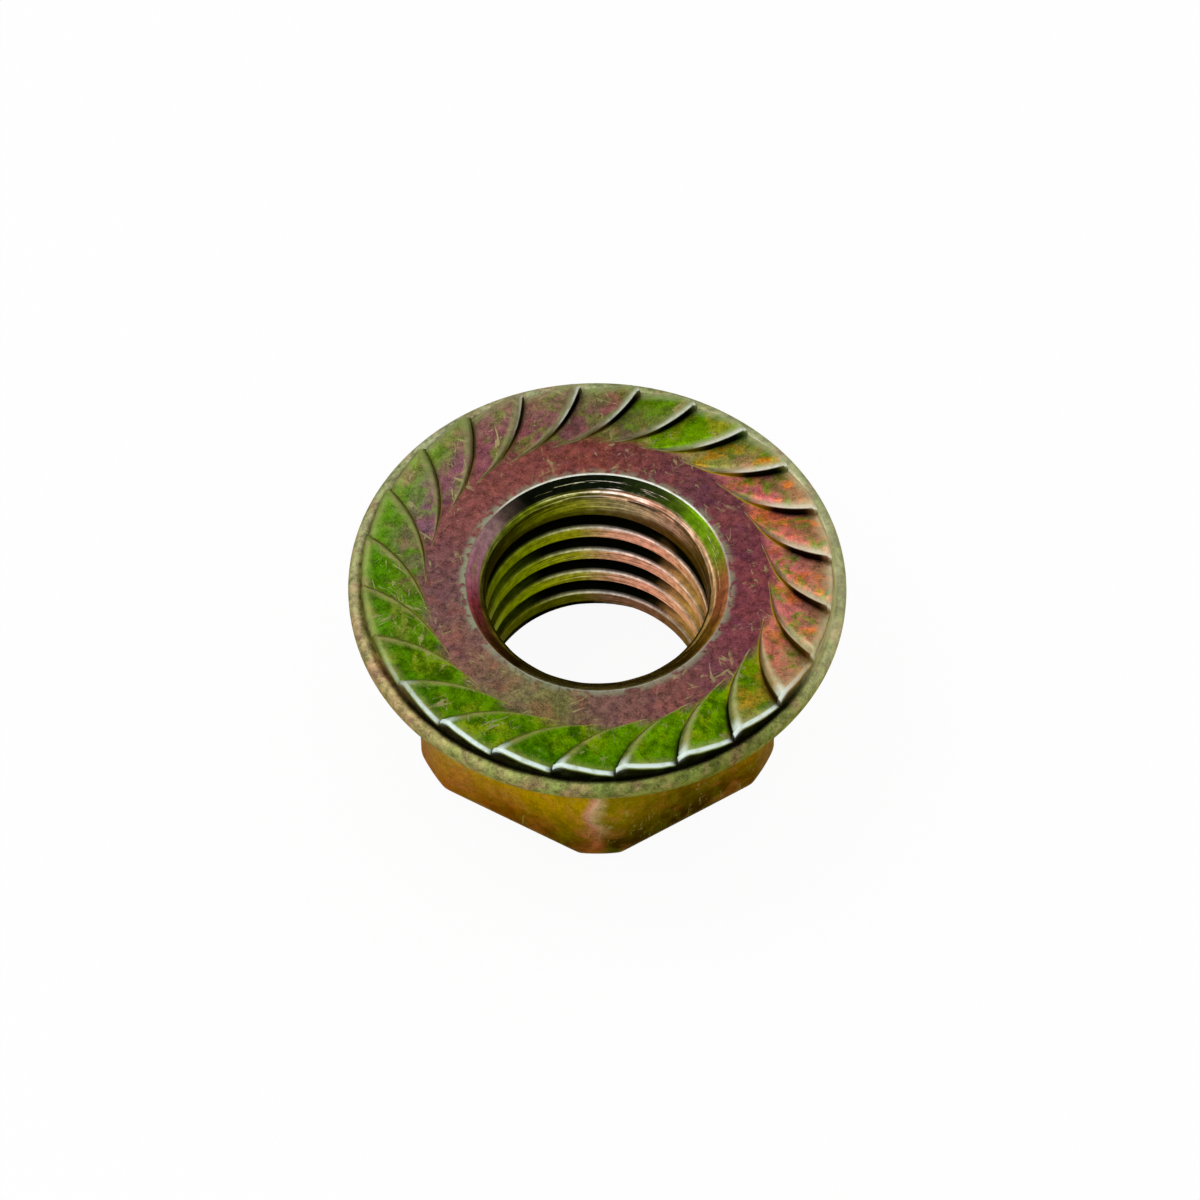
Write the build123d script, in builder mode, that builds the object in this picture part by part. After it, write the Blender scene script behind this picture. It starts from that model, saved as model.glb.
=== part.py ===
from build123d import *
import os
from math import cos, radians, sin, tan

os.makedirs("parts", exist_ok=True)

# Serrated hexagon flange nut for an M10 x 1.5 bolt, cold formed in one piece.
# It stands on its hexagon end, with the serrated clamping face up. The axis is +Z, the
# hexagon end lies on z = 0, and one hexagon corner points along -Y. All sizes are in mm.

# Body
flange_diameter = 19.0      # over the rounded rim
across_flats = 13.9         # spanner size 14, less its forming tolerance
seat_height = 8.7           # from the hexagon end to the flat ring round the hole
corner_trim = 0.45          # how far the forming die cuts back each sharp hexagon corner
hex_end_round = 1.4         # rounding of the hexagon's free end
underside_angle = 24        # slope of the flange's underside, from level

# Hole: the plain bore is the thread's minor diameter, and it ends in a countersink each way
bore_diameter = 8.6
countersink_width = 0.7
countersink_angle = 100     # included angle

# Serrated crown
serration_count = 24
seat_ring_width = 1.55      # flat ring between the countersink and the serrations
crest_height = 0.98         # top of a serration at its outer end, above the flat ring
valley_height = 0.34        # the same serration where it runs down to the next step
step_sweep = 24             # degrees that each curved step turns between its two ends
first_step = 2.8            # direction of one step's outer end, in degrees from +X
crown_bevel = 0.15          # bevel along each serration's outer edge
skirt_rise = 0.28           # rise of the shallow cone that the serrations stand on

# Rim: a rounded lip outside the crown, a little proud of the flat ring
rim_width = 0.53
lip_round = 0.28
lip_drop = 0.1              # centre of the lip's upper rounding, below the flat ring
rim_band = 0.2              # straight band between the lip's two roundings

# Sizes that follow from these
flange_radius = flange_diameter / 2
corner_radius = across_flats / 2 / cos(radians(30)) - corner_trim
bore_radius = bore_diameter / 2
countersink_radius = bore_radius + countersink_width
crown_inner = countersink_radius + seat_ring_width
crown_outer = flange_radius - rim_width
step_pitch = 360 / serration_count
tuck = 0.05                 # how far hidden faces pass into their neighbour
hidden_turn = 2             # the same for a serration's far side, in degrees


def polar(radius, degrees, z=0.0):
    """The point at this radius, direction and height."""
    return Vector(radius * cos(radians(degrees)), radius * sin(radians(degrees)), z)


# The hexagon, with its corners cut back by the die and its free end rounded over
with BuildPart() as hexagon:
    with BuildSketch():
        RegularPolygon(across_flats / 2, 6, major_radius=False, rotation=30)
        Circle(corner_radius, mode=Mode.INTERSECT)
    extrude(amount=seat_height - lip_drop)
    fillet(hexagon.faces().sort_by(Axis.Z)[0].edges(), hex_end_round)

# One serration. In plan it lies between two circular arcs, each tangent to the crown's inner
# circle and sweeping outward. Its top is one flat facet, highest at the outer end of the first
# arc, so the step beside it grows from nothing at the inner circle to its full height outside.
# It runs a little way into the next serration, where its far side can't be seen.
far_side = first_step + step_pitch + hidden_turn
tail = polar(crown_inner + tuck, first_step + step_sweep)
crest = polar(crown_outer, first_step)
middle = polar(crown_outer, (first_step + far_side) / 2)
valley = polar(crown_outer, first_step + step_pitch)
far_crest = polar(crown_outer, far_side)
far_tail = polar(crown_inner + tuck, far_side + step_sweep)

seat = Vector(0, 0, seat_height)
facet_x = crest + Vector(0, 0, crest_height) - tail
facet_y = valley + Vector(0, 0, valley_height) - tail
facet = Plane(origin=tail + seat, x_dir=facet_x, z_dir=facet_x.cross(facet_y))
crown_edge = facet_y - facet_x
bevel_side = polar(1, first_step + step_pitch / 2) - Vector(0, 0, 1)
outer_bevel = Plane(
    origin=crest + seat + Vector(0, 0, crest_height - crown_bevel),
    x_dir=crown_edge,
    z_dir=bevel_side.cross(crown_edge),
)
serration_base = seat_height - lip_drop - rim_band / 2

with BuildPart() as serration:
    with BuildSketch(Plane.XY.offset(serration_base)):
        with BuildLine():
            TangentArc(tail, crest, tangent=polar(1, first_step + step_sweep - 90))
            ThreePointArc(crest, middle, far_crest)
            TangentArc(far_tail, far_crest, tangent=polar(1, far_side + step_sweep - 90))
            Line(far_tail, tail)
        make_face()
    extrude(amount=2 * crest_height + seat_height - serration_base)
    split(bisect_by=facet, keep=Keep.BOTTOM)
    split(bisect_by=outer_bevel, keep=Keep.BOTTOM)

# The flange is one turned profile: flat ring, shallow cone, rounded lip and sloping underside
lip = (flange_radius - lip_round, seat_height - lip_drop)
lower_lip = (lip[0], lip[1] - rim_band)
slope = radians(underside_angle)
underside_start = (lower_lip[0] + lip_round * sin(slope), lower_lip[1] - lip_round * cos(slope))
core_radius = across_flats / 4
underside_end = (core_radius, underside_start[1] - (underside_start[0] - core_radius) * tan(slope))

with BuildPart() as nut:
    with BuildSketch(Plane.XZ):
        with BuildLine():
            Polyline(
                (0, underside_end[1]),
                (0, seat_height),
                (crown_inner, seat_height),
                (crown_outer - tuck, seat_height + skirt_rise),
                (crown_outer - tuck, lip[1]),
                lip,
                lower_lip,
                underside_start,
                underside_end,
                close=True,
            )
        make_face()
        with Locations(lip, lower_lip):
            Circle(lip_round)
        with Locations((lip[0], lip[1] - rim_band / 2)):
            Rectangle(2 * lip_round, rim_band)
    revolve(axis=Axis.Z)

    # Hexagon below
    add(hexagon.part)

    # Serrations round the crown
    with PolarLocations(0, serration_count):
        add(serration.part)

    # Hole, countersunk from both ends
    with Locations(Location((0, 0, seat_height)), Location((0, 0, 0), (180, 0, 0))):
        CounterSinkHole(bore_radius, countersink_radius, counter_sink_angle=countersink_angle)

nut.part.label = "flange_nut"
export_step(nut.part, "parts/flange_nut.step")
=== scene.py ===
# %% [markdown]
# # A serrated flange nut
#
# This nut is pressed from steel in one piece: a hexagon for the spanner, a round flange that
# spreads the load, and 24 curved teeth on the flange that dig in and keep the nut from turning
# back. It is plated with zinc and dipped in a yellow chromate, a film so thin that it shows
# rainbow patches of mauve, green and gold.
#
# The first cell loads the measured solid. It stays as the frame, and the finer piece made here
# is shown instead of it, in the same metres and at the same spot.

import math

import bmesh
import bpy
from mathutils import Matrix, Vector, noise


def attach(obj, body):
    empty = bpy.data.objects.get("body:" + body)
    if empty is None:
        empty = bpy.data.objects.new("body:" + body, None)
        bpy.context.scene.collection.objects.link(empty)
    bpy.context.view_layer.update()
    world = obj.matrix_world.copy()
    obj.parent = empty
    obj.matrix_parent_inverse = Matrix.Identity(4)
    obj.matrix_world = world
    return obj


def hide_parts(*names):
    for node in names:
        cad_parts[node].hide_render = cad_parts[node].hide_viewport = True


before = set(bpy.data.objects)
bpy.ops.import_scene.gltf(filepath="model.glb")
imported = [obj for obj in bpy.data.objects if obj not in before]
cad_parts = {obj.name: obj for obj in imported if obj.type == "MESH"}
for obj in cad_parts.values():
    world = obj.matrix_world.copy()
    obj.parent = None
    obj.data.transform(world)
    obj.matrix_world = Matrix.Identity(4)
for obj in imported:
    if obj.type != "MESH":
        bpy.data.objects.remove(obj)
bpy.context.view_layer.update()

# %% [markdown]
# ## Sizes
#
# The solid's main sizes, in millimetres. A nut could be drawn by eye, but all its surfaces meet
# on shared circles, so plain named numbers keep the finer piece on the solid everywhere.

# %% Sizes in millimetres
MM = 0.001
FLANGE_RADIUS = 9.5
APOTHEM = 6.95              # from the axis to a flat of the hexagon
CORNER_RADIUS = 7.575       # from the axis to a hexagon corner, cut back by the die
SEAT = 8.7                  # height of the flat ring round the hole
SINK_RADIUS = 5.0           # countersink, at both ends of the hole
SINK_SLOPE = math.tan(math.radians(50))
CROWN_INNER, CROWN_OUTER = 6.55, 8.97
TEETH = 24
TOOTH_PITCH = 360 / TEETH   # degrees
FIRST_STEP, STEP_SWEEP = 2.8, 24.0
CREST_RISE, VALLEY_RISE, SKIRT_RISE = 0.98, 0.34, 0.28
EDGE_ROUND = 0.2            # rounding of the crown's outer edge
GROOVE_RISE = 0.09          # floor of the groove between crown and lip, above the flat ring
LIP_ROUND, LIP_DROP, RIM_BAND = 0.28, 0.1, 0.2
LIP_INSET = 0.004           # keeps the lip inside the flat faces of the solid's rim
END_ROUND = 1.4             # rounding of the hexagon's free end
UNDERSIDE = math.radians(24)
FILLET = 0.55               # between the underside and the hexagon
THREAD_PITCH, CREST_RADIUS, ROOT_RADIUS = 1.5, 4.3, 4.95


def soft_max(a, b, blend):
    """The larger of two heights, with the crease between them rounded."""
    return (a + b + math.hypot(a - b, blend)) / 2


def soft_min(a, b, blend):
    return -soft_max(-a, -b, blend)


def ease(low, high, value):
    """0 below low, 1 above high, and a smooth slope between."""
    t = min(1.0, max(0.0, (value - low) / (high - low)))
    return t * t * (3 - 2 * t)


def window(low, full, fade, gone, value):
    """0 up to low, 1 from full to fade, and 0 again from gone on."""
    return ease(low, full, value) * (1 - ease(fade, gone, value))


def lerp(a, b, t):
    return a + (b - a) * t


# %% [markdown]
# ## The pressed teeth
#
# Each tooth lies between two arcs that leave the inner circle at a tangent and sweep outwards.
# Its top is one tilted plane through three points: the arc's start on the inner circle, the
# crest at its outer end, and the valley beside the next tooth. So the step between two teeth
# grows from nothing to its full height. The press leaves the step's foot sharp and its shoulder
# round, and that round shoulder is what catches the light.
#
# The teeth could be 24 separate wedges, but wedges cut into each other at the inner circle. Here
# the height is a function of radius and of the angle past the step, which stays one clean skin.

# %% Height of the teeth
CLIMB_LEAST, CLIMB_PER_RISE = 0.1, 0.6      # width of a step, and how much it grows with its rise
WALL_SHARE, WALL_RISE = 0.05, 0.38          # the sheer wall's share of the width and of the rise
SKIRT_BLEND = 0.04                          # softens the crease between a tooth and the cone below


def at(radius, degrees, z=0.0):
    turned = math.radians(degrees)
    return Vector((radius * math.cos(turned), radius * math.sin(turned), z))


chord = CROWN_OUTER * math.cos(math.radians(STEP_SWEEP))
ARC_RADIUS = (CROWN_OUTER**2 + CROWN_INNER**2 - 2 * CROWN_INNER * chord) / (2 * (chord - CROWN_INNER))
ARC_CENTRE = CROWN_INNER + ARC_RADIUS

tail = at(CROWN_INNER, STEP_SWEEP)
facet = (at(CROWN_OUTER, 0, CREST_RISE) - tail).cross(at(CROWN_OUTER, TOOTH_PITCH, VALLEY_RISE) - tail)


def sweep_at(radius):
    """Degrees that a step line has swept back by this radius."""
    radius = min(CROWN_OUTER, max(CROWN_INNER, radius))
    turned = (radius**2 + ARC_CENTRE**2 - ARC_RADIUS**2) / (2 * radius * ARC_CENTRE)
    return STEP_SWEEP - math.degrees(math.acos(min(1.0, turned)))


def facet_height(radius, lag):
    """Height of a tooth's plane over the seat, lag degrees past its step."""
    p = at(radius, sweep_at(radius) + lag) - tail
    return -(facet.x * p.x + facet.y * p.y) / facet.z


def step_rise(radius):
    return max(0.0, facet_height(radius, 0) - facet_height(radius, TOOTH_PITCH))


def climb_at(radius):
    """Degrees that the step takes to climb from its foot to its shoulder."""
    return math.degrees((CLIMB_LEAST + CLIMB_PER_RISE * step_rise(radius)) / radius)


def climb_share(t):
    """Share of the rise that is climbed: a short sheer wall, then a rounded shoulder."""
    if t < WALL_SHARE:
        return WALL_RISE * t / WALL_SHARE
    return 1 - (1 - WALL_RISE) * (1 - (t - WALL_SHARE) / (1 - WALL_SHARE)) ** 2


def tooth_height(radius, lag):
    top = facet_height(radius, lag)
    climb = climb_at(radius)
    if lag < climb:
        foot = facet_height(radius, TOOTH_PITCH)
        top = foot + (top - foot) * climb_share(lag / climb)
    skirt = SKIRT_RISE * (radius - CROWN_INNER) / (CROWN_OUTER - CROWN_INNER)
    return SEAT + soft_max(skirt, top, SKIRT_BLEND)


print(f"step arcs of {ARC_RADIUS:.2f} mm; the outer step is {step_rise(CROWN_OUTER):.2f} mm high")

# %% [markdown]
# ## One section, spun into a skin
#
# A nut is nearly a turned part, so its skin starts as one section in the XZ plane: flat ring,
# crown, lip, underside, hexagon side and rounded end. The section could be spun and then cut by
# booleans, but a boolean leaves long thin faces that shade badly. Instead each point of the
# section remembers its station, and after the spin the stations are moved to where the teeth
# and the hexagon have them.
#
# There are 24 columns of faces to a tooth, crowded at its step, where the shape turns fastest. A
# station is a kind, a radius, and a value whose meaning goes with the kind: a drop below the flat
# ring, an angle round an edge, or a share of the way to the next kind.

# %% Stations of the section
COLUMNS = 24
CLIMB_SHARE = (0, 0.025, 0.05, 0.09, 0.16, 0.26, 0.4, 0.58, 0.8, 1.05)
CROWN_ROWS = 22
EDGE_START = CROWN_OUTER - EDGE_ROUND

stations = [("ring", SINK_RADIUS, 0.028), ("ring", 5.035, 0.007), ("ring", 5.09, 0.0)]
stations += [("ring", r, 0.0) for r in (5.35, 5.7, 6.05, 6.35, 6.5)]
stations += [("crown", lerp(CROWN_INNER, EDGE_START, i / CROWN_ROWS), 0.0) for i in range(CROWN_ROWS + 1)]
stations += [("shoulder", CROWN_OUTER, math.radians(15 * i)) for i in range(1, 7)]
stations += [("wall", CROWN_OUTER, t) for t in (0.35, 0.75, 1.0)]
first_lip = len(stations)
stations += [("lip", 9.03, 0.0)]
stations += [("lip", FLANGE_RADIUS, math.radians(a)) for a in range(120, -1, -15)]
stations += [("under lip", FLANGE_RADIUS, math.radians(a)) for a in (0, 16, 33, 50, 66)]
stations += [("underside", 8.5, t) for t in (0.25, 0.5, 0.75)]
stations += [("fillet", 7.5, t) for t in (0, 0.25, 0.5, 0.75, 1)]
stations += [("side", 7.2, t) for t in (0.2, 0.4, 0.6, 0.8)]
stations += [("end round", 7.0, math.radians(a)) for a in range(0, 91, 10)]
stations += [("end", 5.3, t) for t in (0.5, 1.0)]
print(len(stations), "stations,", COLUMNS * TEETH, "columns")


# %% Where the hexagon and the underside are
CORNER_BLEND = 0.035        # softens the meeting of a flat and a cut-back corner
WALL_LEAN = 0.02            # the crown's outer wall leans out by this
FLOOR_LIFT = 0.02           # the groove's floor rises by this towards the lip
END_EDGE = 5.03             # inner edge of the free end


def hexagon_reach(degrees, inset=0.0):
    """Radius of the hexagon in this direction, with its die-cut corners."""
    off_flat = (degrees + 30) % 60 - 30
    flat = (APOTHEM - inset) / math.cos(math.radians(off_flat))
    return soft_min(flat, CORNER_RADIUS - inset, CORNER_BLEND)


LIP_CENTRE = FLANGE_RADIUS - LIP_INSET - LIP_ROUND
UNDER_RADIUS = LIP_CENTRE + LIP_ROUND * math.sin(UNDERSIDE)
UNDER_HEIGHT = SEAT - LIP_DROP - RIM_BAND - LIP_ROUND * math.cos(UNDERSIDE)


def underside_height(radius):
    return UNDER_HEIGHT - (UNDER_RADIUS - radius) * math.tan(UNDERSIDE)


def skin_point(kind, radius, value, degrees, lag):
    """Radius and height of a station's point in this direction."""
    if kind == "ring":
        return radius, SEAT - value
    if kind == "crown":
        return radius, tooth_height(radius, lag)
    top = tooth_height(EDGE_START, lag)
    foot = SEAT + GROOVE_RISE
    drop = min(EDGE_ROUND, 0.5 * (top - foot))
    if kind == "shoulder":
        return CROWN_OUTER - EDGE_ROUND * (1 - math.sin(value)), top - drop * (1 - math.cos(value))
    if kind == "wall":
        return CROWN_OUTER + WALL_LEAN * value, lerp(top - drop, foot, value)
    if kind == "lip" and radius < LIP_CENTRE:
        return radius, foot + FLOOR_LIFT
    if kind == "lip":
        return LIP_CENTRE + LIP_ROUND * math.cos(value), SEAT - LIP_DROP + LIP_ROUND * math.sin(value)
    if kind == "under lip":
        low_centre = SEAT - LIP_DROP - RIM_BAND
        return LIP_CENTRE + LIP_ROUND * math.cos(value), low_centre - LIP_ROUND * math.sin(value)
    wall = hexagon_reach(degrees)
    corner = underside_height(wall)
    if kind == "underside":
        r = lerp(UNDER_RADIUS, wall + FILLET * math.cos(UNDERSIDE), value)
        return r, underside_height(r)
    if kind == "fillet":
        out, down = (1 - value) ** 2 * FILLET, value**2 * FILLET
        return wall + out * math.cos(UNDERSIDE), corner + out * math.sin(UNDERSIDE) - down
    if kind == "side":
        return wall, lerp(corner - FILLET, END_ROUND, value)
    if kind == "end round":
        reach = hexagon_reach(degrees, END_ROUND * (1 - math.cos(value)))
        return reach, END_ROUND * (1 - math.sin(value))
    return lerp(hexagon_reach(degrees, END_ROUND), END_EDGE, value), 0.0


# %% [markdown]
# ## Marks that the finish follows
#
# The plating wears where the metal stands proud. Shade is painted dark at the foot of each step and
# in the deepest corners, and highlights are painted pale along the edges that catch the light. The
# shader could guess this from the curvature, but the mesh knows exactly where its crests and creases
# are, so it writes them down as attributes on its points:
#
# - `pale` for rubbed shoulders and outer ends, also painted pale as highlights on the
#   shoulders, on the outer wall away from the front and on the thread's crests, and
#   `edge` for the thin lines that shine;
# - `soot` for painted shade at the foot of each step, on the crown's outer wall at the
#   front and in the groove beside it;
# - `crown` and `span` for the place on a tooth, and `band` for the flat crests of the thread;
# - `tooth_side` for the direction of the tooth that a point belongs to, because the colour of the
#   film changes from tooth to tooth.
#
# On the flat ring `span` runs below 0 towards the hole, where the ring is worn, and in the
# countersink it is 1. Wear, painted shade and painted highlights aren't the same all round, so each
# sector below gives the directions, in degrees, where a mark comes in, is full, begins to fade and
# is gone.

# %% Tools for the marks
MARKS = ("crown", "span", "pale", "edge", "soot", "band")
SECTORS = {
    "front": (198, 226, 314, 336), "back": (50, 95, 150, 200), "left": (80, 130, 325, 345),
    "right": (-42, -22, 35, 70), "far edge": (15, 40, 130, 150),
}
GLINT_SECTOR = (-30, 100, 130)  # degrees where the glints start, begin to fade and are gone


def facing(sector, degrees):
    """How far this direction lies in a sector, from 0 to 1."""
    low = SECTORS[sector][0]
    turned = degrees % 360 if low > 0 else (degrees + 180) % 360 - 180
    return window(*SECTORS[sector], turned)


def add_marks(mesh):
    """The layers in which a mesh keeps its marks."""
    layers = {name: mesh.verts.layers.float.new(name) for name in MARKS}
    layers["tooth_side"] = mesh.verts.layers.float_vector.new("tooth_side")
    return layers


# %% Marks of a point on the skin
# Along the climb of a step, 0 is its foot and 1 is the end of its shoulder
FOOT_FADES, GLINT, RISER = (0.09, 0.15), (0.09, 0.13, 0.18, 0.34), (0.02, 0.08, 0.45, 1.1)
LAST_DEGREE = TOOTH_PITCH - 1   # from here on a tooth lies beside the next step's foot
RIDGE = 0.55                    # the brightest line of the crown's outer edge, in radians
RING_EDGE = (5.02, 5.09)        # radii over which the ring's bright inner edge fades
RING_WORN, RING_WEAR = 5.55, 0.5    # the ring is worn inside this radius, fully after this width


def tooth_marks(kind, radius, value, lag, degrees):
    """Marks on a tooth, on the crown's rounded outer edge and on its outer wall."""
    front, left = facing("front", degrees), facing("left", degrees)
    rise, past = step_rise(radius), lag / climb_at(radius)
    # Rubbed shoulders, which are also painted pale as a highlight where they round over
    shoulder = window(0.1 - 0.08 * left, 0.2 - 0.1 * left, 0.2 + 0.55 * left, 0.75 + 0.6 * left, past)
    shoulder *= min(1, 0.35 + 0.3 * left + rise * 1.2) * (1 - 0.1 * facing("back", degrees))
    outer = 0.75 * ease(CROWN_OUTER - 0.5, CROWN_OUTER - 0.1, radius)
    # Painted shade: black at the foot of each step, fading at the outer end except at the front
    soot = (1 - ease(*FOOT_FADES, past)) * min(1, 0.25 + rise * 1.8)
    soot *= 1 - 0.8 * (1 - front) * ease(8.45, 8.95, radius)
    # Painted shade in the corner beside the next step's foot
    if lag > LAST_DEGREE:
        soot = 0.3 * min(1, rise * 1.8)
    starts, fades, gone = GLINT_SECTOR
    # Painted highlight: a thin glint along each shoulder, on the right and at the back
    glint = window(*GLINT, past) * ease(6.9, 7.6, radius)
    glint *= 1 - ease(fades - starts, gone - starts, (degrees - starts) % 360)
    # Painted highlight on the steps of the front teeth, near their outer ends
    riser = 0.95 * front * window(*RISER, past) * ease(8.25, 8.8, radius)
    found = {
        "crown": 1.0, "span": (radius - CROWN_INNER) / (CROWN_OUTER - CROWN_INNER),
        "pale": max(shoulder, outer), "edge": max(glint, riser), "soot": soot,
    }
    if kind == "crown":
        found["crown"] = ease(0.0, 0.06, tooth_height(radius, lag) - SEAT)
    if kind == "shoulder":
        # Painted highlight along the crown's outer edge, strongest at the front, and painted shade on its
        # lower part at the front
        ridge = (1 - ease(0.24, 0.5, abs(value - RIDGE))) * (0.1 + 0.9 * front)
        found["edge"] = max(found["edge"], ridge)
        found["soot"] = max(soot, 0.97 * front * ease(0.95, 1.3, value))
    if kind == "wall":
        # The outer wall: painted shade at the front, painted pale away from the front, and a painted
        # highlight on the right
        found.update(soot=0.97 * front, pale=found["pale"] * (1 - front), edge=facing("right", degrees))
    return found


def ring_marks(radius, drop, degrees):
    """Marks on the flat ring: its worn zone round the hole, and a painted highlight on its inner edge
    that is strongest at the back.
    """
    bright = 0.3 + 0.7 * facing("far edge", degrees)
    worn = -ease(0, 1, (RING_WORN - radius) / RING_WEAR)
    return {"edge": (1 - ease(*RING_EDGE, radius)) * bright, "span": 1.0 if drop > 0.02 else worn}


def lip_marks(radius, degrees):
    """Marks on the lip and in the groove beside the crown: painted shade in the groove at the front, and
    painted highlights on the right.
    """
    right = facing("right", degrees)
    soot = 0.95 * facing("front", degrees) * (1 - ease(9.04, 9.2, radius))
    return {"soot": soot, "edge": 0.2 * right if radius > 9.1 else right}


def mark_skin(vert, marks, kind, radius, value, lag, tooth, degrees):
    """Write the marks of one point."""
    swept = 0.4 * STEP_SWEEP if radius < CROWN_OUTER else 0
    vert[marks["tooth_side"]] = at(1, FIRST_STEP + TOOTH_PITCH * (tooth + 0.5) + swept)
    found = {}
    if kind in ("crown", "shoulder", "wall"):
        found = tooth_marks(kind, radius, value, lag, degrees)
    elif kind == "ring":
        found = ring_marks(radius, value, degrees)
    elif kind == "lip":
        found = lip_marks(radius, degrees)
    for name, amount in found.items():
        vert[marks[name]] = amount


print("marks:", ", ".join(MARKS), "and tooth_side")

# %% Spin the section and shape it
EVEN_OUT = 12                               # stations below the teeth where columns even out
UNEVEN_TOP, UNEVEN_EDGE = 0.014, 0.025      # how much one tooth differs from the next

skin = bmesh.new()
station_of = skin.verts.layers.int.new("station")
section = [skin.verts.new((r * MM, 0, (SEAT - 0.1 * i) * MM)) for i, (_, r, _) in enumerate(stations)]
for i, vert in enumerate(section):
    vert[station_of] = i
spokes = [skin.edges.new(pair) for pair in zip(section, section[1:])]
bmesh.ops.spin(
    skin, geom=section + spokes, cent=(0, 0, 0), axis=(0, 0, 1), angle=math.tau,
    steps=COLUMNS * TEETH, use_merge=True, use_duplicate=False,
)
marks = add_marks(skin)

even = 360 / (COLUMNS * TEETH)
for vert in skin.verts:
    index = vert[station_of]
    kind, radius, value = stations[index]
    column = round(math.degrees(math.atan2(vert.co.y, vert.co.x)) / even) % (COLUMNS * TEETH)
    tooth, column = divmod(column, COLUMNS)
    crowding = radius if kind != "shoulder" else CROWN_OUTER
    climb = climb_at(min(CROWN_OUTER, max(CROWN_INNER, crowding)))
    if column < len(CLIMB_SHARE):
        lag = climb * CLIMB_SHARE[column]
    else:
        last = len(CLIMB_SHARE) - 1
        lag = lerp(climb * CLIMB_SHARE[-1], TOOTH_PITCH, (column - last) / (COLUMNS - last))
    level = ease(0, 1, (index - first_lip) / EVEN_OUT)
    slant = lerp(lag, column * TOOTH_PITCH / COLUMNS, level)
    degrees = FIRST_STEP + TOOTH_PITCH * tooth + slant + sweep_at(crowding)
    r, z = skin_point(kind, radius, value, degrees, lag)
    if kind in ("crown", "shoulder", "wall"):
        # No two pressed teeth are quite alike
        spot = at(r, degrees, tooth * 0.7)
        z += UNEVEN_TOP * noise.noise(spot * 1.3) * ease(CROWN_INNER, 7.2, r)
        if kind != "crown":
            r += UNEVEN_EDGE * noise.noise(spot * 1.9 + Vector((7, 3, 1)))
    mark_skin(vert, marks, kind, min(radius, r), value, lag, tooth, degrees)
    vert.co = at(r, degrees, z) * MM
print(f"skin: {len(skin.verts)} points, top at {max(v.co.z for v in skin.verts) * 1000:.3f} mm")

# %% [markdown]
# ## The thread
#
# An M10 thread climbs 1.5 mm a turn, right-handed, with 60 degree flanks. Its crests are the wall
# of the drilled hole, so they are flat and finely scored. The thread could be a swept triangle
# cut from the nut, but sweeps twist. A column of points spun round the axis with a lift of one
# pitch a turn makes a grid that runs along the thread, so each row keeps to one line of its
# profile. Both countersinks then simply win wherever they are wider than the thread.

# %% Profile of the thread
# Shares of one pitch, crowded at the two edges of a crest
ROWS = (
    0.0, 0.05, 0.1, 0.15, 0.2, 0.235, 0.26, 0.285, 0.34, 0.42,
    0.5, 0.58, 0.66, 0.715, 0.74, 0.765, 0.8, 0.85, 0.9, 0.95,
)
AROUND, TURNS = 180, 9
CREST_WIDTH = 0.62
CREST_TOP = 6.1                 # height of a crest's upper edge at the back of the hole
CREST_BLEND = 0.02              # softens the crest's edges
RUN_IN = (7.05, 7.4)            # heights over which the thread fades, as the tap hardly cuts there
SINK_BLEND = 0.03               # softens the meeting of thread and countersink


def turns_up(degrees, z):
    """Turns of the thread from the middle of one crest, where this is a whole number."""
    return (z - CREST_TOP + CREST_WIDTH / 2) / THREAD_PITCH - (degrees - 90) / 360


def thread_radius(degrees, z):
    """Radius of the thread here, and how far into a crest the point is."""
    turns = turns_up(degrees, z)
    off = abs(turns - round(turns)) * THREAD_PITCH - CREST_WIDTH / 2
    uncut = ease(*RUN_IN, z)
    depth = min(ROOT_RADIUS - CREST_RADIUS, max(0.0, off) * math.sqrt(3)) * (1 - 0.95 * uncut)
    radius = soft_max(CREST_RADIUS, CREST_RADIUS + depth, CREST_BLEND) - CREST_BLEND / 2
    return radius, max(uncut, 1 - ease(-0.06, 0.06, off))


hole = bmesh.new()
lowest = -2 * THREAD_PITCH
column = [
    hole.verts.new((CREST_RADIUS * MM, 0, (lowest + (turn + row) * THREAD_PITCH) * MM))
    for turn in range(TURNS) for row in ROWS
]
rods = [hole.edges.new(pair) for pair in zip(column, column[1:])]
bmesh.ops.spin(
    hole, geom=column + rods, cent=(0, 0, 0), axis=(0, 0, 1), angle=math.tau,
    dvec=(0, 0, THREAD_PITCH * MM / AROUND), steps=AROUND, use_merge=False, use_duplicate=False,
)
bmesh.ops.remove_doubles(hole, verts=hole.verts, dist=0.004 * MM)

marks = add_marks(hole)
# The rows were laid from the middle of a crest, so the grid is moved to the thread's own phase
phase = CREST_TOP - CREST_WIDTH / 2 - THREAD_PITCH / 4 - 4 * THREAD_PITCH
for vert in hole.verts:
    degrees = math.degrees(math.atan2(vert.co.y, vert.co.x))
    z = vert.co.z / MM + phase
    thread, crest = thread_radius(degrees, z)
    sink = SINK_RADIUS - SINK_SLOPE * min(SEAT - z, z)
    r = soft_max(thread, sink, SINK_BLEND) if sink < SINK_RADIUS + 0.3 else sink
    into_sink = ease(-0.02, 0.05, sink - thread)
    vert[marks["band"]] = crest * (1 - into_sink)
    vert[marks["span"]] = into_sink
    turns = turns_up(degrees, z)
    # A painted highlight along the upper edge of each crest
    upper_edge = 1 - abs(2 * crest - 1) if turns > round(turns) else 0.0
    vert[marks["pale"]] = upper_edge * (1 - into_sink)
    vert.co = at(r, degrees, z) * MM

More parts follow.
